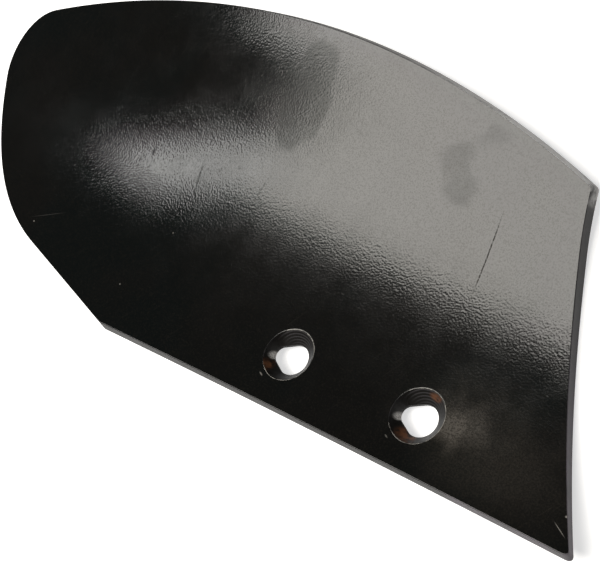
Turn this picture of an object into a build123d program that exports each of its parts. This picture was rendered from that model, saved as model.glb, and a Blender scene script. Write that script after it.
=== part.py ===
"""Mouldboard plate: one pressed steel plate, hollow face up, with two countersunk bolt seats.

The plate is a sheet bent to part of a round cylinder. X runs along the bend's axis,
Z is up, and the plate rests on the lowest line of its back, straight below its
centre of gravity. The origin is on the floor, in the middle of the plate's length
and width.
"""

import os
from math import asin, cos, radians, sin

from build123d import *

os.makedirs("parts", exist_ok=True)

# Sheet and bend (mm)
thickness = 6.5
bend_radius = 250.0  # on the hollow face
bend_axis_y = -1.0
arris = 0.4  # rounding left on the cut edges by pressing and use

# Corners of the outline, seen from above (mm)
heel = (-45.5, -82.9)  # where the rear cut meets the share edge
rear_cut_end = (-117.3, -66.6)
nose_start = (-206.0, 3.9)
nose_end = (-189.2, 46.4)
crest = (-32.5, 81.5)
shoulder = (148.4, 58.8)  # upper front corner
shin_top = (154.0, 35.0)
share_point = (210.5, -68.9)  # lower front corner
share_edge_middle = (82.5, -75.2)  # the share edge is cut 0.7 hollow

shin_direction = 128.2  # the way the shin edge leaves the share point, degrees from +X
shoulder_rounding = 2.0
point_rounding = 1.5
heel_rounding = 4.0

# Seats for two M12 countersunk plough bolts with nibs (mm)
bolt_pitch = 70.0
bolt_line_angle = 2.8  # degrees off the bend's axis, like the share edge
first_bolt = (54.9, -54.1)  # seen from above
neck_diameter = 14.0
seat_diameter = 24.0
seat_angle = 90.0
nib_slot_length = 20.0  # tip to tip across the neck, along the bolt line
nib_slot_width = 4.5
seat_lift = 0.6  # the cone is carried past the hollow face, so that its rim follows the bend

bend_axis_height = thickness + bend_radius
roll_length = 600.0


def plane_on_hollow_face(x: float, y: float) -> Plane:
    """Plane touching the hollow face above (x, y), with its z pointing out of the face.

    Args:
        x: distance along the bend's axis.
        y: distance across it, seen from above.

    Returns:
        The touching plane, its x along the bend's axis.
    """
    turn = asin((y - bend_axis_y) / bend_radius)
    height = bend_axis_height - bend_radius * cos(turn)
    return Plane(origin=(x, y, height), x_dir=(1, 0, 0), z_dir=(0, -sin(turn), cos(turn)))


pitch_angle = radians(bolt_line_angle)
second_bolt = (
    first_bolt[0] + bolt_pitch * cos(pitch_angle),
    first_bolt[1] + bolt_pitch * sin(pitch_angle),
)
seat_planes = [plane_on_hollow_face(*first_bolt), plane_on_hollow_face(*second_bolt)]

with BuildPart() as mouldboard_plate:
    # the forming roll: the hollow face is where the blank wraps its underside
    with BuildSketch(Plane.YZ.offset(-roll_length / 2)):
        with Locations((bend_axis_y, bend_axis_height)):
            Circle(bend_radius)
    roll = extrude(amount=roll_length, mode=Mode.PRIVATE)

    # the trimmed outline, seen from above
    with BuildSketch(Plane.XY) as outline:
        with BuildLine():
            rear_cut = Line(heel, rear_cut_end)
            rear_curve = TangentArc(rear_cut_end, nose_start, tangent=rear_cut % 1)
            nose = TangentArc(nose_start, nose_end, tangent=rear_curve % 1)
            brow = TangentArc(nose_end, crest, tangent=nose % 1)
            wing = TangentArc(crest, shoulder, tangent=brow % 1)
            leave = radians(shin_direction)
            shin = TangentArc(share_point, shin_top, tangent=(cos(leave), sin(leave)))
            shin_neck = TangentArc(shin_top, shoulder, tangent=shin % 1)
            share_edge = ThreePointArc(share_point, share_edge_middle, heel)
        make_face()
        fillet(outline.vertices().sort_by_distance(heel)[0], heel_rounding)
        fillet(outline.vertices().sort_by_distance(share_point)[0], point_rounding)
        fillet(outline.vertices().sort_by_distance(shoulder)[0], shoulder_rounding)

    # lift the outline onto the roll, then give it the sheet's thickness square to the bend
    hollow_face = outline.sketch.face().project_to_shape(roll.solid(), direction=(0, 0, 1))[0]
    thicken(hollow_face, amount=thickness, normal_override=(0, 0, -1))

    # ease both arrises all the way round
    bent_faces = mouldboard_plate.faces().filter_by(GeomType.CYLINDER).sort_by(SortBy.AREA)[-2:]
    fillet(bent_faces.edges(), arris)

    # countersunk seats sunk square to the bend, with a short straight neck below the cone
    with Locations(*(plane.offset(seat_lift) for plane in seat_planes)):
        CounterSinkHole(
            radius=neck_diameter / 2,
            counter_sink_radius=seat_diameter / 2 + seat_lift,
            depth=2 * thickness,
            counter_sink_angle=seat_angle,
        )

    # the nibs under a bolt's head drop into two notches, one each side of the neck
    with BuildSketch(*seat_planes):
        SlotOverall(nib_slot_length, nib_slot_width, rotation=bolt_line_angle)
    extrude(amount=-2 * thickness, mode=Mode.SUBTRACT)

mouldboard_plate.part.label = "mouldboard_plate"
export_step(mouldboard_plate.part, "parts/mouldboard_plate.step")
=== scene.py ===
"""Looks of a mouldboard plate: one pressed steel sheet in black lacquer, lying hollow face up.

The blank is drawn flat, thickened, countersunk and eased, and then bent round the
forming roll. Lengths in the sizes, finishes and plate are in millimetres, and so are the
camera's lens and sensor. The studio's lengths and the camera's place are in metres. X
runs along the bend's axis and Z is up.
"""

import logging
from dataclasses import dataclass, field
from enum import Enum
from math import asin, atan2, ceil, cos, pi, radians, sin
from typing import Any, Callable, Optional, Union

import bmesh
import bpy
from mathutils import Matrix, Vector


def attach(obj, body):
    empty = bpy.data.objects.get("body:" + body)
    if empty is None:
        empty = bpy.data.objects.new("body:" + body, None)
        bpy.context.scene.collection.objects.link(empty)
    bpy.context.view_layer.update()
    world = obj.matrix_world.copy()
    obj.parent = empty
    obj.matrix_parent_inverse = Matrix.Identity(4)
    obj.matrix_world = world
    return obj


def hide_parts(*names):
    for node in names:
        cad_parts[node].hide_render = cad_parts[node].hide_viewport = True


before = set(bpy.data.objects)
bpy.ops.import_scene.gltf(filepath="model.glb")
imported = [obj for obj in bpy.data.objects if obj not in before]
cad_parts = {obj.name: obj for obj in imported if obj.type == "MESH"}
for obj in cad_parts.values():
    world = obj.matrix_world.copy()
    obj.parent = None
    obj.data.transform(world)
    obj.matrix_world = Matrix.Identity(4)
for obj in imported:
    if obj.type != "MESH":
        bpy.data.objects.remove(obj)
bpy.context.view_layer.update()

log = logging.getLogger("mouldboard_plate")

MM = 0.001
TINY = 0.01 * MM

LACQUER_IOR = 1.5
THROUGH = 1.0e6  # mm, so that a mark has no rim across the sheet's thickness

Point = tuple[float, float]
Span = tuple[float, float]
Place = tuple[float, float, float]
Colour = tuple[float, float, float]


# Shader maths


class Wire:
    """One output of a node, used as a value in Python expressions."""

    def __init__(self, bench: "Bench", socket: bpy.types.NodeSocket) -> None:
        """Keeps the socket and the bench that its node stands on.

        Args:
            bench: the node tree's builder.
            socket: an output socket of a node in that tree.
        """
        self.bench = bench
        self.socket = socket

    def _maths(self, operation: str, first: "Term", second: "Term") -> "Wire":
        """Adds one Math node.

        Args:
            operation: the node's operation.
            first: its first value.
            second: its second value.

        Returns:
            The node's output.
        """
        return self.bench.node(
            "ShaderNodeMath", {"operation": operation}, {0: first, 1: second}
        )

    def out(self, name: str) -> "Wire":
        """Another output of the same node."""
        return Wire(self.bench, self.socket.node.outputs[name])

    def __add__(self, other: "Term") -> "Wire":
        """self + other."""
        return self._maths("ADD", self, other)

    def __radd__(self, other: "Term") -> "Wire":
        """other + self."""
        return self._maths("ADD", other, self)

    def __sub__(self, other: "Term") -> "Wire":
        """self - other."""
        return self._maths("SUBTRACT", self, other)

    def __rsub__(self, other: "Term") -> "Wire":
        """other - self."""
        return self._maths("SUBTRACT", other, self)

    def __mul__(self, other: "Term") -> "Wire":
        """self * other."""
        return self._maths("MULTIPLY", self, other)

    def __rmul__(self, other: "Term") -> "Wire":
        """other * self."""
        return self._maths("MULTIPLY", other, self)

    def __or__(self, other: "Term") -> "Wire":
        """The larger of two masks."""
        return self._maths("MAXIMUM", self, other)

    def __ror__(self, other: "Term") -> "Wire":
        """The larger of two masks."""
        return self._maths("MAXIMUM", other, self)

    def waves(self, pitch: float) -> "Wire":
        """A sine wave of this value, from -1 to 1, one wave for each pitch."""
        return self._maths("SINE", self * (2 * pi / pitch), 0.0)

    def between(self, low: float, high: float) -> "Wire":
        """A smooth step of this value.

        Args:
            low: the value that gives 0.
            high: the value that gives 1, which may be the smaller one.

        Returns:
            A mask from 0 to 1.
        """
        return self.bench.node(
            "ShaderNodeMapRange",
            {"interpolation_type": "SMOOTHSTEP"},
            {0: self, 1: low, 2: high, 3: 0.0, 4: 1.0},
        )


Term = Union[Wire, float]


class Bench:
    """Builds the node tree of one material."""

    def __init__(self, name: str) -> None:
        """Starts an empty material.

        Args:
            name: the material's name.
        """
        self.material = bpy.data.materials.new(name)
        self.material.use_nodes = True
        self.tree = self.material.node_tree
        self.tree.nodes.clear()

    def node(
        self,
        kind: str,
        settings: Optional[dict[str, Any]] = None,
        values: Optional[dict[Union[int, str], Any]] = None,
    ) -> Wire:
        """Adds a node.

        Args:
            kind: the node's type.
            settings: its properties, set first.
            values: numbers, colours or wires for its input sockets.

        Returns:
            The node's first output that is in use, or its first input if it has no output.
        """
        made = self.tree.nodes.new(kind)
        for name, value in (settings or {}).items():
            setattr(made, name, value)
        for key, value in (values or {}).items():
            socket = made.inputs[key]
            if isinstance(value, Wire):
                self.tree.links.new(value.socket, socket)
            else:
                socket.default_value = value
        outputs = [socket for socket in made.outputs if socket.enabled]
        return Wire(self, outputs[0]) if outputs else Wire(self, made.inputs[0])

    def place(self) -> Wire:
        """Where a point of the piece is, in millimetres."""
        coordinates = self.node("ShaderNodeTexCoord").out("Object")
        return self.scaled(coordinates, 1 / MM)

    def scaled(self, vector: Wire, factor: float) -> Wire:
        """A vector times a number."""
        return self.node("ShaderNodeVectorMath", {"operation": "SCALE"}, {0: vector, "Scale": factor})

    def noise(self, place: Wire, size: float, detail: float = 2.0, rough: float = 0.5) -> Wire:
        """Noise about 0.5.

        Args:
            place: the point, in millimetres.
            size: the width of its largest blots, in millimetres.
            detail: how many finer layers it has.
            rough: how strong those layers are.

        Returns:
            A value around 0.5.
        """
        return self.node(
            "ShaderNodeTexNoise",
            {},
            {"Vector": place, "Scale": 1.0 / size, "Detail": detail, "Roughness": rough},
        )

    def seen_from(self, place: Wire, x: float, y: float, turn: float, length: float, width: float) -> Wire:
        """Coordinates centred on a mark, along and across it, in halves of its size.

        Args:
            place: the point, in millimetres.
            x: the mark's place along the plate.
            y: the mark's place across the plate, seen from above.
            turn: the mark's direction, degrees from +X.
            length: the mark's length.
            width: the mark's width.

        Returns:
            The vector from the mark's middle, 1 long at its rim.
        """
        return self.node(
            "ShaderNodeMapping",
            {"vector_type": "TEXTURE"},
            {
                "Vector": place,
                "Location": (x, y, 0.0),
                "Rotation": (0.0, 0.0, radians(turn)),
                "Scale": (length / 2, width / 2, THROUGH),
            },
        )

    def pushed(self, place: Wire, size: float, reach: float) -> Wire:
        """A point pushed about by noise, so that a mark's rim wanders.

        Args:
            place: the point, in millimetres.
            size: the width of the noise's blots, in millimetres.
            reach: how far apart the noise pushes two points at most along an axis.

        Returns:
            The pushed point.
        """
        noise = self.noise(place, size).out("Color")
        middle = (0.5, 0.5, 0.5)
        centred = self.node("ShaderNodeVectorMath", {"operation": "SUBTRACT"}, {0: noise, 1: middle})
        return self.node(
            "ShaderNodeVectorMath", {"operation": "ADD"}, {0: place, 1: self.scaled(centred, reach)}
        )

    def length(self, vector: Wire) -> Wire:
        """How long a vector is."""
        return self.node("ShaderNodeVectorMath", {"operation": "LENGTH"}, {0: vector}).out("Value")

    def axes(self, vector: Wire) -> tuple[Wire, Wire, Wire]:
        """The three parts of a vector."""
        split = self.node("ShaderNodeSeparateXYZ", {}, {0: vector})
        return split.out("X"), split.out("Y"), split.out("Z")

    def blend(self, mask: Term, under: Any, over: Any) -> Wire:
        """Mixes two colours.

        Args:
            mask: 0 for the first, 1 for the second.
            under: the colour where the mask is 0.
            over: the colour where the mask is 1.

        Returns:
            The mixed colour.
        """
        mixed = self.node(
            "ShaderNodeMix",
            {"data_type": "RGBA"},
            {0: mask, 6: self._rgba(under), 7: self._rgba(over)},
        )
        return Wire(self, mixed.socket.node.outputs[2])

    @staticmethod
    def _rgba(colour: Any) -> Any:
        """A colour with its fourth number, or the wire as it is."""
        return colour if isinstance(colour, Wire) else (*colour, 1.0)

    def relief(self, height: Wire, depth: float = 1.0) -> Wire:
        """Turns a height into a normal.

        Args:
            height: the height.
            depth: how far a height of 1 stands out, in millimetres.

        Returns:
            The normal.
        """
        values = {"Strength": 1.0, "Distance": depth * MM, "Height": height}
        return self.node("ShaderNodeBump", {}, values)

    def finish(self, shader: dict[str, Any]) -> bpy.types.Material:
        """Closes the tree with a Principled shader, with lacquer's index of refraction.

        Args:
            shader: the shader's other sockets and their values.

        Returns:
            The material.
        """
        surface = self.node("ShaderNodeBsdfPrincipled", {}, {**shader, "IOR": LACQUER_IOR})
        self.node("ShaderNodeOutputMaterial", {}, {"Surface": surface})
        return self.material


# Sizes


@dataclass(frozen=True)
class Sheet:
    """The steel sheet and the roll that it is bent on."""

    thickness: float = 6.5
    bend_radius: float = 250.0
    bend_axis_y: float = -1.0
    arris: float = 0.4

    def developed(self, point: Point) -> Point:
        """Where a point seen from above lies on the flat blank.

        Args:
            point: x and y seen from above.

        Returns:
            x, and the distance round the bend from its lowest line.
        """
        x, y = point
        return x, self.bend_radius * asin((y - self.bend_axis_y) / self.bend_radius)


@dataclass(frozen=True)
class Seat:
    """A seat for a countersunk plough bolt, with a pear-shaped neck for its nib."""

    x: float
    y: float
    rim: float = 24.0
    rim_ease: float = 0.25
    neck: float = 14.0
    neck_length: float = 1.5
    nib_radius: float = 4.0
    nib_offset: float = 6.5
    nib_turn: float = 182.8  # degrees from +X: along the bolt line, towards the nose

    def nib_point(self) -> Point:
        """The middle of the neck's narrow end, from the seat's own middle."""
        turn = radians(self.nib_turn)
        return self.nib_offset * cos(turn), self.nib_offset * sin(turn)


@dataclass(frozen=True)
class Outline:
    """The trimmed outline, seen from above."""

    heel: Point = (-45.5, -82.9)
    rear_cut_end: Point = (-117.3, -66.6)
    nose_start: Point = (-206.0, 3.9)
    nose_end: Point = (-189.2, 46.4)
    crest: Point = (-32.5, 81.5)
    shoulder: Point = (148.4, 58.8)
    shin_top: Point = (154.0, 35.0)
    share_point: Point = (210.5, -68.9)
    share_edge_middle: Point = (82.5, -75.2)
    shin_direction: float = 128.2  # the way the shin edge leaves the share point, degrees from +X
    step: float = 3.0  # how far apart the points on an arc are at most

    def _arc(self, start: Point, end: Point, heading: float) -> tuple[list[Point], float]:
        """Points on an arc that leaves its start in a given direction.

        Args:
            start: the arc's first point.
            end: its last point.
            heading: the direction at the start, in radians.

        Returns:
            The points after the start, and the direction at the end.
        """
        across = (-sin(heading), cos(heading))
        dx, dy = end[0] - start[0], end[1] - start[1]
        signed = (dx * dx + dy * dy) / (2 * (dx * across[0] + dy * across[1]))
        centre = (start[0] + signed * across[0], start[1] + signed * across[1])
        first = atan2(start[1] - centre[1], start[0] - centre[0])
        last = atan2(end[1] - centre[1], end[0] - centre[0])
        side = 1 if signed > 0 else -1
        sweep = (last - first) * side % (2 * pi) * side
        count = max(2, ceil(abs(signed * sweep) / self.step))
        radius = abs(signed)
        points = [
            (
                centre[0] + radius * cos(first + sweep * i / count),
                centre[1] + radius * sin(first + sweep * i / count),
            )
            for i in range(1, count + 1)
        ]
        return points, last + side * pi / 2

    def _shallow(self, start: Point, middle: Point, end: Point) -> list[Point]:
        """Points on the parabola through three points, which stands for a shallow arc.

        Args:
            start: its first point.
            middle: a point that it passes.
            end: its last point.

        Returns:
            The points after the start and before the end.
        """
        run = Vector((end[0] - start[0], end[1] - start[1]))
        along = run.normalized()
        offset = Vector((middle[0] - start[0], middle[1] - start[1]))
        share = offset.dot(along) / run.length
        rise = offset.x * -along.y + offset.y * along.x
        height = rise / (4 * share * (1 - share))
        count = ceil(run.length / (2 * self.step))
        points = []
        for i in range(1, count):
            t = i / count
            lift = 4 * height * t * (1 - t)
            points.append(
                (
                    start[0] + run.x * t - along.y * lift,
                    start[1] + run.y * t + along.x * lift,
                )
            )
        return points

    def points(self) -> list[Point]:
        """The whole outline.

        Returns:
            Its points, clockwise from the heel, seen from above.
        """
        chain = [self.heel, self.rear_cut_end]
        heading = atan2(
            self.rear_cut_end[1] - self.heel[1], self.rear_cut_end[0] - self.heel[0]
        )
        corners = (self.rear_cut_end, self.nose_start, self.nose_end, self.crest, self.shoulder)
        for start, end in zip(corners, corners[1:]):
            points, heading = self._arc(start, end, heading)
            chain += points
        shin, heading = self._arc(self.share_point, self.shin_top, radians(self.shin_direction))
        neck, _ = self._arc(self.shin_top, self.shoulder, heading)
        chain += reversed([self.share_point] + shin + neck[:-1])
        chain += self._shallow(self.share_point, self.share_edge_middle, self.heel)
        return chain


class Face(Enum):
    """Which finish a face of the plate has; the value is its material slot."""

    LACQUER = 0
    CUT_EDGE = 1
    SEAT = 2
    RIM = 3


# Finishes


@dataclass(frozen=True)
class Mark:
    """A mark on the hollow face or in a seat, at its place seen from above."""

    x: float
    y: float
    length: float
    width: float
    turn: float = 0.0
    strength: float = 1.0
    inner: float = 0.0  # the share of its size inside which it has its full strength

    def mask(self, bench: Bench, place: Wire) -> Wire:
        """The mark's mask.

        Args:
            bench: the material's node builder.
            place: the point, in millimetres.

        Returns:
            The mark's strength in its middle, falling to 0 at its rim.
        """
        away = bench.length(
            bench.seen_from(place, self.x, self.y, self.turn, self.length, self.width)
        )
        return away.between(1.0, self.inner) * self.strength


def joined(marks: tuple[Mark, ...], bench: Bench, place: Wire) -> Wire:
    """The masks of several marks laid over each other.

    Args:
        marks: the marks, at least one.
        bench: the material's node builder.
        place: the point, in millimetres.

    Returns:
        The strongest of the marks at each point.
    """
    whole = marks[0].mask(bench, place)
    for mark in marks[1:]:
        whole = whole | mark.mask(bench, place)
    return whole


@dataclass(frozen=True)
class BlackLacquer:
    """Gloss black lacquer with a fine grain, handling marks and a worn patch by the front seat."""

    colour: Colour = (0.0014, 0.0022, 0.0021)
    warm: Colour = (0.0024, 0.0024, 0.0021)
    film: Colour = (0.060, 0.052, 0.042)
    bare_and_highlight: Colour = (0.20, 0.19, 0.175)
    gloss: float = 0.072

    # widths of the patterns' blots, and how far the relief stands out
    broad_size: float = 70.0
    cloud_size: float = 16.0
    peel_size: float = 2.6
    peel_depth: float = 0.006
    grain_size: float = 0.85
    grain_depth: float = 0.027
    dust_size: float = 0.7
    score_height: float = 0.02
    hair_length: float = 50.0
    hair_width: float = 1.4
    hair_turn: float = 62.0
    wander_size: float = 20.0
    wander_reach: float = 26.0

    # how much of the film's colour shows, and how much each pattern dulls the gloss
    hair_film: float = 0.14
    dust_film: float = 0.09
    dust_dulling: float = 0.22
    cloud_dulling: float = 0.04
    haze_dulling: float = 0.25
    smudge_dulling: float = 0.08
    front_dulling: float = 0.036
    front_x: Span = (-110.0, 30.0)

    smudges: tuple[Mark, ...] = (
        Mark(-2.3, 51.5, 54.0, 29.0, 90.0, 0.26, 0.72),
        Mark(87.0, 45.0, 34.0, 18.0, -49.0, 0.21, 0.4),
        Mark(97.0, 61.5, 36.0, 14.0, 35.0, 0.13, 0.2),
    )
    haze: tuple[Mark, ...] = (
        Mark(140.5, -47.0, 34.0, 28.0, -30.0, 0.95, 0.0),
        Mark(146.0, -45.0, 62.0, 30.0, -12.0, 0.60, 0.0),
        Mark(160.0, -50.0, 120.0, 64.0, -8.0, 0.24, 0.1),
    )
    scores: tuple[Mark, ...] = (
        Mark(117.0, 19.1, 45.0, 0.9, -85.2, 0.9, 0.4),
        Mark(-44.8, -1.4, 27.0, 1.6, -76.9, 0.5, 0.2),
        Mark(-84.8, -7.1, 18.0, 1.1, -80.8, 0.4, 0.2),
        Mark(-79.1, 0.1, 5.0, 1.8, -70.0, 0.9, 0.3),
        Mark(-6.9, 3.6, 20.0, 1.8, 83.3, 0.34, 0.2),
    )
    nicks: tuple[Mark, ...] = (
        Mark(201.3, -62.0, 9.3, 0.5, -25.0, 0.7, 0.3),
        Mark(201.0, -56.7, 1.8, 1.1, 20.0, 0.9, 0.5),
        Mark(48.8, -66.7, 3.0, 0.9, -20.0, 0.6, 0.4),
        Mark(118.1, -63.5, 2.6, 0.8, -20.0, 0.35, 0.4),
        Mark(-119.6, -51.0, 26.6, 0.6, 27.8, 0.10, 0.3),
        Mark(-125.4, -57.2, 1.4, 1.1, 0.0, 0.7, 0.3),
        Mark(-41.2, -30.6, 1.2, 1.0, 0.0, 0.6, 0.3),
        Mark(-50.5, -63.3, 1.3, 1.0, 0.0, 0.6, 0.3),
    )

    def make(self) -> bpy.types.Material:
        """Builds the material.

        Returns:
            The material.
        """
        bench = Bench("black_lacquer")
        place = bench.place()
        broad = bench.noise(place, self.broad_size, detail=3.0)
        cloud = bench.noise(place, self.cloud_size, detail=4.0, rough=0.6)
        grain = bench.noise(place, self.grain_size, detail=0.0)
        dust = bench.noise(place, self.dust_size, detail=1.0)
        peel = bench.noise(place, self.peel_size, detail=1.0)
        drawn = bench.seen_from(place, 0.0, 0.0, self.hair_turn, self.hair_length, self.hair_width)
        hairs = bench.noise(drawn, 1.0)

        # marks lie on the hollow face alone, which looks up
        hollow = bench.axes(bench.node("ShaderNodeNewGeometry").out("Normal"))[2].between(0.0, 0.2)
        wander = bench.pushed(place, self.wander_size, self.wander_reach)
        smudge = joined(self.smudges, bench, wander) * (0.7 + cloud.between(0.3, 0.6) * 0.3) * hollow
        haze = joined(self.haze, bench, wander) * (0.45 + dust.between(0.3, 0.7) * 0.55) * hollow
        score = joined(self.scores, bench, place) * (0.4 + dust.between(0.35, 0.6) * 0.6) * hollow
        nick = joined(self.nicks, bench, place) * hollow

        colour = bench.blend(broad.between(0.4, 0.65), self.colour, self.warm)
        colour = bench.blend(hairs.between(0.66, 0.78) * self.hair_film, colour, self.film)
        colour = bench.blend(dust.between(0.48, 0.72) * self.dust_film * hollow, colour, self.film)
        colour = bench.blend(haze, colour, self.film)
        colour = bench.blend(nick, colour, self.bare_and_highlight)

        x, _, _ = bench.axes(place)
        roughness = self.gloss + x.between(*self.front_x) * self.front_dulling
        roughness = roughness + cloud.between(0.3, 0.7) * self.cloud_dulling
        roughness = roughness + haze * self.haze_dulling + smudge * self.smudge_dulling

        # metal as dark as the lacquer reflects next to nothing, so this takes the gloss away
        dulled = dust.between(0.42, 0.72) * self.dust_dulling + smudge + score
        height = grain * self.grain_depth + peel * self.peel_depth + score * self.score_height
        return bench.finish(
            {
                "Base Color": colour,
                "Roughness": roughness,
                "Metallic": dulled * (1.0 - nick),
                "Normal": bench.relief(height),
            }
        )


@dataclass(frozen=True)
class CutEdge:
    """The sheet's cut edge under the same lacquer, duller, with painted reflections on the top edge and
    along the shin.
    """

    colour: Colour = (0.008, 0.008, 0.009)
    worn: Colour = (0.032, 0.030, 0.033)
    # painted reflection: the top edge is drawn pale where it catches the lamps' light
    wing_reflection: Colour = (0.50, 0.50, 0.505)
    # painted reflection: the shin edge is drawn purple-grey where it mirrors the floor
    shin: Colour = (0.080, 0.070, 0.085)
    shine: float = 0.35
    gloss: float = 0.48
    patch_size: float = 9.0
    patch_dulling: float = 0.2
    grit_size: float = 0.8
    grit_depth: float = 0.05

    # where the two painted reflections, on the top edge and the shin, begin and are full
    wing_x: Span = (20.0, 110.0)
    wing_y: Span = (50.0, 56.0)
    shin_x: Span = (150.0, 160.0)
    shin_y: Span = (25.0, -50.0)

    def make(self) -> bpy.types.Material:
        """Builds the material.

        Returns:
            The material.
        """
        bench = Bench("black_lacquer_cut_edge")
        place = bench.place()
        x, y, _ = bench.axes(place)
        patches = bench.noise(place, self.patch_size, detail=4.0, rough=0.6)
        grit = bench.noise(place, self.grit_size)
        # painted reflections: lighter colours on the top edge and on the shin edge
        wing_reflection = y.between(*self.wing_y) * x.between(*self.wing_x) * patches.between(0.25, 0.5)
        shin = x.between(*self.shin_x) * y.between(*self.shin_y) * patches.between(0.2, 0.6)
        colour = bench.blend(patches.between(0.4, 0.75), self.colour, self.worn)
        colour = bench.blend(wing_reflection, colour, self.wing_reflection)
        colour = bench.blend(shin, colour, self.shin)
        return bench.finish(
            {
                "Base Color": colour,
                "Roughness": self.gloss + patches * self.patch_dulling,
                "Normal": bench.relief(grit, self.grit_depth),
                "Specular IOR Level": self.shine,
            }
        )


@dataclass(frozen=True)
class SeatFinish:
    """Machined seats under thin lacquer, with rust coming through, and a painted highlight on each cone's
    wall.
    """

    seats: tuple[Seat, ...]
    colour: Colour = (0.006, 0.0055, 0.005)
    rust: Colour = (0.115, 0.048, 0.022)
    # painted highlight colour: the pale patch where the lamps' reflection falls on each cone's wall
    bare_and_highlight: Colour = (0.70, 0.69, 0.68)
    tooled: Colour = (0.045, 0.043, 0.046)
    shine: float = 0.2
    gloss: float = 0.3
    blot_size: float = 3.0
    blot_dulling: float = 0.25
    grit_size: float = 0.5
    grit_depth: float = 0.03
    tool_pitch: float = 1.1
    tool_strength: float = 0.8
    tool_fade: float = 1.0  # how far past the rim the tool's rings die out
    tooled_y: Span = (3.0, 9.0)  # from a seat's middle, where the rings begin and are full
    rusted: tuple[Mark, ...] = (
        Mark(47.3, -62.0, 8.0, 5.0, -45.0, 0.8, 0.3),
        Mark(123.7, -59.7, 13.0, 6.0, -15.0, 1.0, 0.4),
        Mark(126.9, -40.9, 9.0, 4.0, 0.0, 0.8, 0.3),
    )
    # painted highlights: one pale patch on each cone's wall towards the nose, where the lamps' reflection
    # falls
    cone_highlights: tuple[Mark, ...] = (
        Mark(45.2, -57.4, 4.6, 3.2, 110.0, 1.0, 0.4),
        Mark(115.2, -54.3, 4.6, 3.4, 110.0, 1.0, 0.4),
    )

    def _turned(self, bench: Bench, place: Wire) -> Term:
        """The rings that the countersink leaves in each seat, on the side away from the share edge.

        Args:
            bench: the material's node builder.
            place: the point, in millimetres.

        Returns:
            A mask of the rings.
        """
        turned: Term = 0.0
        for seat in self.seats:
            # halves of a 2 mm mark are millimetres from the seat's middle
            away = bench.seen_from(place, seat.x, seat.y, 0.0, 2.0, 2.0)
            rings = bench.length(away).waves(self.tool_pitch).between(0.1, 0.9)
            near = bench.length(away).between(seat.rim / 2 + self.tool_fade, seat.rim / 2)
            turned = rings * near * bench.axes(away)[1].between(*self.tooled_y) + turned
        return turned

    def make(self) -> bpy.types.Material:
        """Builds the material.

        Returns:
            The material.
        """
        bench = Bench("black_lacquer_bolt_seat")
        place = bench.place()
        blots = bench.noise(place, self.blot_size, detail=4.0, rough=0.65)
        grit = bench.noise(place, self.grit_size)
        rusted = joined(self.rusted, bench, place) * blots.between(0.3, 0.6)
        cone_highlights = joined(self.cone_highlights, bench, place) * grit.between(0.2, 0.55)
        tooled = self._turned(bench, place) * self.tool_strength
        colour = bench.blend(tooled, self.colour, self.tooled)
        colour = bench.blend(rusted, colour, self.rust)
        # painted highlight on each cone's wall
        colour = bench.blend(cone_highlights, colour, self.bare_and_highlight)
        return bench.finish(
            {
                "Base Color": colour,
                "Roughness": self.gloss + blots * self.blot_dulling,
                "Normal": bench.relief(grit, self.grit_depth),
                "Specular IOR Level": self.shine,
            }
        )


@dataclass(frozen=True)
class RimWearAndHighlight:
    """The seats' rims, worn to the steel in places, with a painted highlight in the same pale patches."""

    colour: Colour = (0.012, 0.011, 0.010)
    # pale colour: partly worn steel, partly a painted highlight along the rims
    bare_and_highlight: Colour = (0.26, 0.25, 0.23)
    gloss: float = 0.34
    break_and_glint_size: float = 3.5
    break_and_glint_dulling: float = 0.1

    def make(self) -> bpy.types.Material:
        """Builds the material.

        Returns:
            The material.
        """
        bench = Bench("black_lacquer_rim_wear_and_highlight")
        breaks_and_glints = bench.noise(bench.place(), self.break_and_glint_size, detail=3.0, rough=0.6)
        # pale patches along the rims: partly worn steel, partly a painted highlight
        colour = bench.blend(breaks_and_glints.between(0.36, 0.56), self.colour, self.bare_and_highlight)
        roughness = self.gloss + breaks_and_glints * self.break_and_glint_dulling
        return bench.finish({"Base Color": colour, "Roughness": roughness})


# The plate


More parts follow.
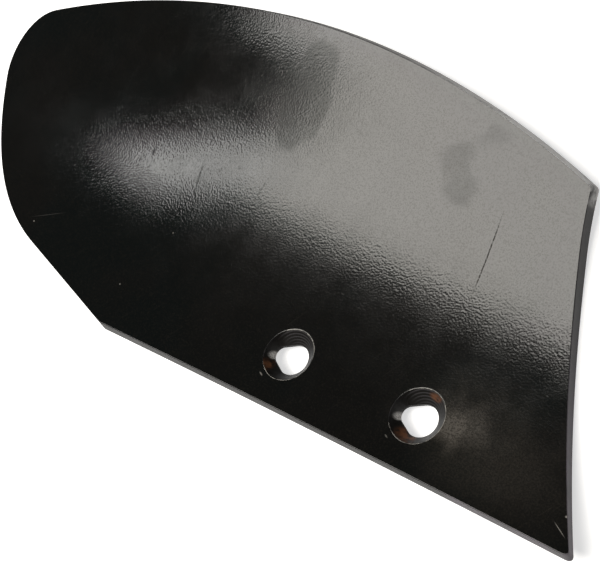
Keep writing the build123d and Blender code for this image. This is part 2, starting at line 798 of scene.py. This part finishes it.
@dataclass
class Plate:
    """The plate: its blank, its two bolt seats and its bend."""

    sheet: Sheet = field(default_factory=Sheet)
    outline: Outline = field(default_factory=Outline)
    seats: tuple[Seat, ...] = (Seat(54.9, -54.1), Seat(124.816, -50.68))
    strip: float = 2.0  # how wide the flat strips are that follow the roll

    # how far each corner's rounding starts from it, and the steps of each rounding
    heel_ease: float = 0.56
    point_ease: float = 3.9
    shoulder_ease: float = 1.25
    corner_steps: int = 5
    arris_steps: int = 4
    rim_steps: int = 3

    # the seats' cutter
    cutter_lift: float = 0.6  # how far it stands over the hollow face
    cone_sides: int = 128
    nib_sides: int = 96
    hull_angle: float = 0.02  # radians within which the cutter's triangles are joined
    seat_margin: float = 2.4  # an edge this close outside a rim still belongs to the seat

    # how steeply faces look up or down, as the height of their normal
    wall_below: float = 0.95
    level_above: float = 0.97
    cutter_floor_below: float = -0.99
    rim_between: Span = (0.76, 0.985)  # steeper than the flat face, and flatter than the cone's 0.71

    crease: float = 35.0  # degrees past which an edge stays crisp
    evenness: int = 100  # how much large faces lead the smoothed normals

    def _only(self, piece: bpy.types.Object) -> None:
        """Selects one object and makes it the active one.

        Args:
            piece: the object.
        """
        bpy.ops.object.select_all(action="DESELECT")
        piece.select_set(True)
        bpy.context.view_layer.objects.active = piece

    def _select(
        self,
        piece: bpy.types.Object,
        elements: str,
        wanted: Callable[[Any], bool],
    ) -> None:
        """Selects the wanted vertices, edges or faces of the piece in edit mode.

        Args:
            piece: the object in edit mode.
            elements: "VERT", "EDGE" or "FACE".
            wanted: says for each whether it is wanted.
        """
        bpy.context.tool_settings.mesh_select_mode = tuple(
            elements == name for name in ("VERT", "EDGE", "FACE")
        )
        bpy.ops.mesh.select_all(action="DESELECT")
        mesh = bmesh.from_edit_mesh(piece.data)
        pool = {"VERT": mesh.verts, "EDGE": mesh.edges, "FACE": mesh.faces}[elements]
        for element in pool:
            if wanted(element):
                element.select_set(True)
        mesh.select_flush_mode()
        bmesh.update_edit_mesh(piece.data)

    def _draw_blank(self) -> bpy.types.Object:
        """Draws the flat outline point by point and fills it.

        Returns:
            The blank, with its hollow face at height 0.
        """
        flat = [self.sheet.developed(point) for point in self.outline.points()]
        bpy.ops.object.select_all(action="DESELECT")
        bpy.ops.mesh.primitive_plane_add(size=MM)
        blank = bpy.context.object
        blank.name = "plate_skin"
        bpy.ops.object.mode_set(mode="EDIT")
        bpy.ops.mesh.select_all(action="SELECT")
        bpy.ops.mesh.merge(type="CENTER")
        bpy.ops.transform.translate(value=(flat[0][0] * MM, flat[0][1] * MM, 0.0))
        for here, there in zip(flat, flat[1:]):
            step = ((there[0] - here[0]) * MM, (there[1] - here[1]) * MM, 0.0)
            bpy.ops.mesh.extrude_vertices_move(TRANSFORM_OT_translate={"value": step})
        bpy.ops.mesh.select_all(action="SELECT")
        bpy.ops.mesh.edge_face_add()
        return blank

    def _round_corners(self, blank: bpy.types.Object) -> None:
        """Rounds the three corners of the flat outline.

        Args:
            blank: the flat blank, in edit mode.
        """
        corners = (
            (self.outline.heel, self.heel_ease),
            (self.outline.share_point, self.point_ease),
            (self.outline.shoulder, self.shoulder_ease),
        )
        for corner, ease in corners:
            x, y = self.sheet.developed(corner)
            here = Vector((x * MM, y * MM, 0.0))
            self._select(blank, "VERT", lambda v: (v.co - here).length < TINY)
            bpy.ops.mesh.bevel(offset=ease * MM, segments=self.corner_steps, affect="VERTICES")

    def _thicken(self, blank: bpy.types.Object) -> None:
        """Gives the blank the sheet's thickness, below its hollow face.

        Args:
            blank: the flat blank, in edit mode; not used.
        """
        bpy.ops.mesh.select_all(action="SELECT")
        bpy.ops.mesh.normals_make_consistent(inside=False)
        bpy.ops.mesh.extrude_region_move(
            TRANSFORM_OT_translate={"value": (0.0, 0.0, -self.sheet.thickness * MM)}
        )
        bpy.ops.mesh.select_all(action="SELECT")
        bpy.ops.mesh.normals_make_consistent(inside=False)

    def _seat_centre(self, seat: Seat) -> Vector:
        """A seat's centre on the flat blank's hollow face."""
        x, y = self.sheet.developed((seat.x, seat.y))
        return Vector((x * MM, y * MM, 0.0))

    def _sink_seat(self, blank: bpy.types.Object, seat: Seat) -> None:
        """Cuts a seat and its pear-shaped neck out of the flat blank.

        Args:
            blank: the flat blank, in object mode.
            seat: the seat's place and sizes.
        """
        centre = self._seat_centre(seat)
        depth = self.sheet.thickness - seat.neck_length
        flare = (seat.rim - seat.neck) / 2 / depth
        nib_x, nib_y = seat.nib_point()
        bpy.ops.object.select_all(action="DESELECT")
        bpy.ops.mesh.primitive_circle_add(
            vertices=self.cone_sides,
            radius=(seat.rim / 2 + flare * self.cutter_lift) * MM,
            location=centre + Vector((0.0, 0.0, self.cutter_lift * MM)),
        )
        cutter = bpy.context.object
        bpy.ops.object.transform_apply(location=True, rotation=True, scale=True)
        bpy.ops.object.mode_set(mode="EDIT")
        bpy.ops.mesh.primitive_circle_add(
            vertices=self.cone_sides,
            radius=seat.neck / 2 * MM,
            location=centre + Vector((0.0, 0.0, -depth * MM)),
        )
        bpy.ops.mesh.primitive_circle_add(
            vertices=self.nib_sides,
            radius=seat.nib_radius * MM,
            location=centre + Vector((nib_x * MM, nib_y * MM, -depth * MM)),
        )
        bpy.ops.mesh.select_all(action="SELECT")
        bpy.ops.mesh.convex_hull(
            delete_unused=True,
            use_existing_faces=False,
            face_threshold=self.hull_angle,
            shape_threshold=self.hull_angle,
        )
        bpy.ops.mesh.normals_make_consistent(inside=False)
        self._select(cutter, "FACE", lambda f: f.normal.z < self.cutter_floor_below)
        bpy.ops.mesh.extrude_region_move(
            TRANSFORM_OT_translate={"value": (0.0, 0.0, -self.sheet.thickness * MM)}
        )
        bpy.ops.mesh.select_all(action="SELECT")
        bpy.ops.mesh.normals_make_consistent(inside=False)
        bpy.ops.object.mode_set(mode="OBJECT")
        self._only(blank)
        cut = blank.modifiers.new("cut", "BOOLEAN")
        cut.operation = "DIFFERENCE"
        cut.solver = "EXACT"
        cut.object = cutter
        bpy.ops.object.modifier_apply(modifier=cut.name)
        bpy.data.objects.remove(cutter)

    def _by_seat(self, point: Vector, margin: float) -> bool:
        """Whether a point of the flat blank is at a seat.

        Args:
            point: the point.
            margin: how far outside a rim still counts.

        Returns:
            Whether it is inside a rim and its margin, seen from above.
        """
        return any(
            (point.xy - self._seat_centre(seat).xy).length < (seat.rim / 2 + margin) * MM
            for seat in self.seats
        )

    def _ease_edges(self, blank: bpy.types.Object) -> None:
        """Rounds both arrises of the outline and the seats' rims.

        Args:
            blank: the flat blank with its seats, in edit mode.
        """

        def brink(edge: bmesh.types.BMEdge, height: float) -> bool:
            """Whether an edge lies at a height and has a wall on one side.

            Args:
                edge: the edge.
                height: the height, in metres.

            Returns:
                Whether it does.
            """
            level = all(abs(v.co.z - height) < TINY for v in edge.verts)
            walls = [f for f in edge.link_faces if abs(f.normal.z) < self.wall_below]
            return level and len(walls) == 1

        def at_seat(edge: bmesh.types.BMEdge) -> bool:
            """Whether an edge belongs to a bolt seat."""
            return self._by_seat((edge.verts[0].co + edge.verts[1].co) / 2, self.seat_margin)

        deep = -self.sheet.thickness * MM
        self._select(blank, "EDGE", lambda e: not at_seat(e) and (brink(e, 0.0) or brink(e, deep)))
        bpy.ops.mesh.bevel(offset=self.sheet.arris * MM, segments=self.arris_steps, affect="EDGES")
        self._select(blank, "EDGE", lambda e: at_seat(e) and brink(e, 0.0))
        bpy.ops.mesh.bevel(offset=self.seats[0].rim_ease * MM, segments=self.rim_steps, affect="EDGES")

    def _name_faces(self, blank: bpy.types.Object) -> None:
        """Gives each face of the flat blank its finish.

        Args:
            blank: the flat blank, in edit mode.
        """
        steepest, flattest = self.rim_between
        for face in bmesh.from_edit_mesh(blank.data).faces:
            inside = self._by_seat(face.calc_center_median(), self.seats[0].rim_ease)
            if inside and steepest < face.normal.z < flattest:
                finish = Face.RIM
            elif abs(face.normal.z) > self.level_above:
                finish = Face.LACQUER
            elif inside:
                finish = Face.SEAT
            else:
                finish = Face.CUT_EDGE
            face.material_index = finish.value
        bmesh.update_edit_mesh(blank.data)

    def _cut_strips(self, blank: bpy.types.Object) -> None:
        """Cuts the flat blank into narrow strips, so that it can follow the roll.

        Args:
            blank: the flat blank, in edit mode.
        """
        low = min(v.co.y for v in bmesh.from_edit_mesh(blank.data).verts)
        high = max(v.co.y for v in bmesh.from_edit_mesh(blank.data).verts)
        count = ceil((high - low) / (self.strip * MM))
        for i in range(1, count):
            bpy.ops.mesh.select_all(action="SELECT")
            bpy.ops.mesh.bisect(
                plane_co=(0.0, low + (high - low) * i / count, 0.0), plane_no=(0.0, 1.0, 0.0)
            )

    def _bend(self, blank: bpy.types.Object) -> None:
        """Bends the flat blank round the roll and sets it down on its back.

        Args:
            blank: the flat blank, in object mode.
        """
        bpy.ops.object.select_all(action="DESELECT")
        bpy.ops.object.empty_add(rotation=(pi / 2, 0.0, 0.0))
        roll = bpy.context.object
        bpy.context.view_layer.update()
        self._only(blank)
        reach = [v.co.y for v in blank.data.vertices]
        bend = blank.modifiers.new("bend", "SIMPLE_DEFORM")
        bend.deform_method = "BEND"
        bend.deform_axis = "X"
        bend.origin = roll
        bend.angle = (max(reach) - min(reach)) / (self.sheet.bend_radius * MM)
        bpy.ops.object.modifier_apply(modifier=bend.name)
        bpy.data.objects.remove(roll)
        bpy.ops.object.mode_set(mode="EDIT")
        bpy.ops.mesh.select_all(action="SELECT")
        bpy.ops.transform.translate(
            value=(0.0, self.sheet.bend_axis_y * MM, self.sheet.thickness * MM)
        )
        bpy.ops.object.mode_set(mode="OBJECT")

    def _smooth(self, piece: bpy.types.Object) -> None:
        """Smooths the bent faces and keeps the arrises crisp.

        Args:
            piece: the bent plate, in object mode.
        """
        self._only(piece)
        bpy.ops.object.shade_smooth_by_angle(angle=radians(self.crease))
        even = piece.modifiers.new("even", "WEIGHTED_NORMAL")
        even.mode = "FACE_AREA"
        even.weight = self.evenness
        even.keep_sharp = True
        bpy.ops.object.modifier_apply(modifier=even.name)

    def build(self) -> bpy.types.Object:
        """Makes the whole plate.

        Returns:
            The finished piece, riding on the root body.
        """
        blank = self._draw_blank()
        self._round_corners(blank)
        self._thicken(blank)
        bpy.ops.object.mode_set(mode="OBJECT")
        for seat in self.seats:
            self._sink_seat(blank, seat)
        self._only(blank)
        bpy.ops.object.mode_set(mode="EDIT")
        self._ease_edges(blank)
        self._name_faces(blank)
        self._cut_strips(blank)
        bpy.ops.object.mode_set(mode="OBJECT")
        self._bend(blank)
        self._smooth(blank)
        for finish in (BlackLacquer(), CutEdge(), SeatFinish(self.seats), RimWearAndHighlight()):
            blank.data.materials.append(finish.make())
        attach(blank, "root")
        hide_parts("mouldboard_plate")
        return blank


# The studio


@dataclass(frozen=True)
class Panel:
    """A soft lamp over the plate, facing straight down."""

    name: str
    place: Place
    width: float
    depth: float
    level: float  # its radiance
    colour: Colour
    turn: float = 0.0

    def hang(self) -> None:
        """Adds the lamp, whose power is its radiance times pi times its area."""
        data = bpy.data.lights.new(self.name, "AREA")
        data.shape = "RECTANGLE"
        data.size = self.width
        data.size_y = self.depth
        data.color = self.colour
        data.energy = self.level * pi * self.width * self.depth
        lamp = bpy.data.objects.new(self.name, data)
        lamp.location = self.place
        lamp.rotation_euler = (0.0, 0.0, radians(self.turn))
        bpy.context.scene.collection.objects.link(lamp)


@dataclass(frozen=True)
class Studio:
    """Pale floor, soft lamps overhead and a dim room."""

    floor_size: float = 6.0
    floor_colour: Colour = (0.8, 0.8, 0.8)
    glow: float = 0.62
    room: float = 0.06
    panels: tuple[Panel, ...] = (
        Panel("broad_panel", (-0.2365, -0.2655, 1.0), 1.273, 0.669, 7.0, (1.0, 0.965, 0.905)),
        Panel("slanted_panel", (-0.999, 0.043, 1.0), 0.335, 0.108, 6.8, (1.0, 0.99, 0.97), -32.6),
        Panel("corner_panel", (-0.9585, -0.45, 1.0), 0.171, 0.30, 7.0, (1.0, 0.975, 0.94)),
    )

    def _floor(self) -> None:
        """Lays the floor, white to the eye and with the plate's shadow on it."""
        bpy.ops.object.select_all(action="DESELECT")
        bpy.ops.mesh.primitive_plane_add(size=self.floor_size)
        floor = bpy.context.object
        floor.name = "floor"
        bench = Bench("pale_floor")
        path = bench.node("ShaderNodeLightPath")
        seen = path.out("Is Camera Ray") | path.out("Is Glossy Ray")
        seen = seen | path.out("Is Transmission Ray")
        paint = bench.node("ShaderNodeBsdfDiffuse", {}, {"Color": (*self.floor_colour, 1.0)})
        light = bench.node("ShaderNodeEmission", {}, {"Strength": seen * self.glow})
        both = bench.node("ShaderNodeAddShader", {}, {0: paint, 1: light})
        bench.node("ShaderNodeOutputMaterial", {}, {"Surface": both})
        floor.data.materials.append(bench.material)

    def _room(self) -> None:
        """Gives the room its dim even light."""
        world = bpy.data.worlds.new("room")
        world.use_nodes = True
        background = world.node_tree.nodes["Background"]
        background.inputs["Color"].default_value = (1.0, 1.0, 1.0, 1.0)
        background.inputs["Strength"].default_value = self.room
        bpy.context.scene.world = world

    def build(self) -> None:
        """Sets up the floor, the lamps and the room."""
        self._floor()
        for panel in self.panels:
            panel.hang()
        self._room()
        bpy.context.scene.view_settings.view_transform = "Standard"


@dataclass(frozen=True)
class Viewpoint:
    """The camera, at the photograph's viewing angle."""

    place: Place = (0.422403, -0.034214, 0.497283)
    ahead: Place = (-0.61664037, 0.01558643, -0.78709067)
    above: Place = (-0.35489859, 0.88694072, 0.2956064)
    lens: float = 86.04
    sensor: float = 36.0
    nearest: float = 0.01

    def build(self) -> None:
        """Sets up the camera."""
        data = bpy.data.cameras.new("camera")
        data.sensor_width = self.sensor
        data.lens = self.lens
        data.clip_start = self.nearest
        camera = bpy.data.objects.new("camera", data)
        back = -Vector(self.ahead).normalized()
        up = Vector(self.above)
        right = up.cross(back).normalized()
        up = back.cross(right)
        turn = Matrix((right, up, back)).transposed()
        camera.matrix_world = Matrix.Translation(self.place) @ turn.to_4x4()
        bpy.context.scene.collection.objects.link(camera)
        bpy.context.scene.camera = camera


# The whole scene


def main() -> None:
    """Builds the plate, the studio and the camera."""
    logging.basicConfig(level=logging.INFO, format="%(name)s: %(message)s")
    plate = Plate().build()
    plate.data.calc_loop_triangles()
    log.info("plate_skin: %d faces, %d triangles", len(plate.data.polygons), len(plate.data.loop_triangles))
    Studio().build()
    Viewpoint().build()
    log.info("boxes written")


if __name__ == "__main__":
    main()
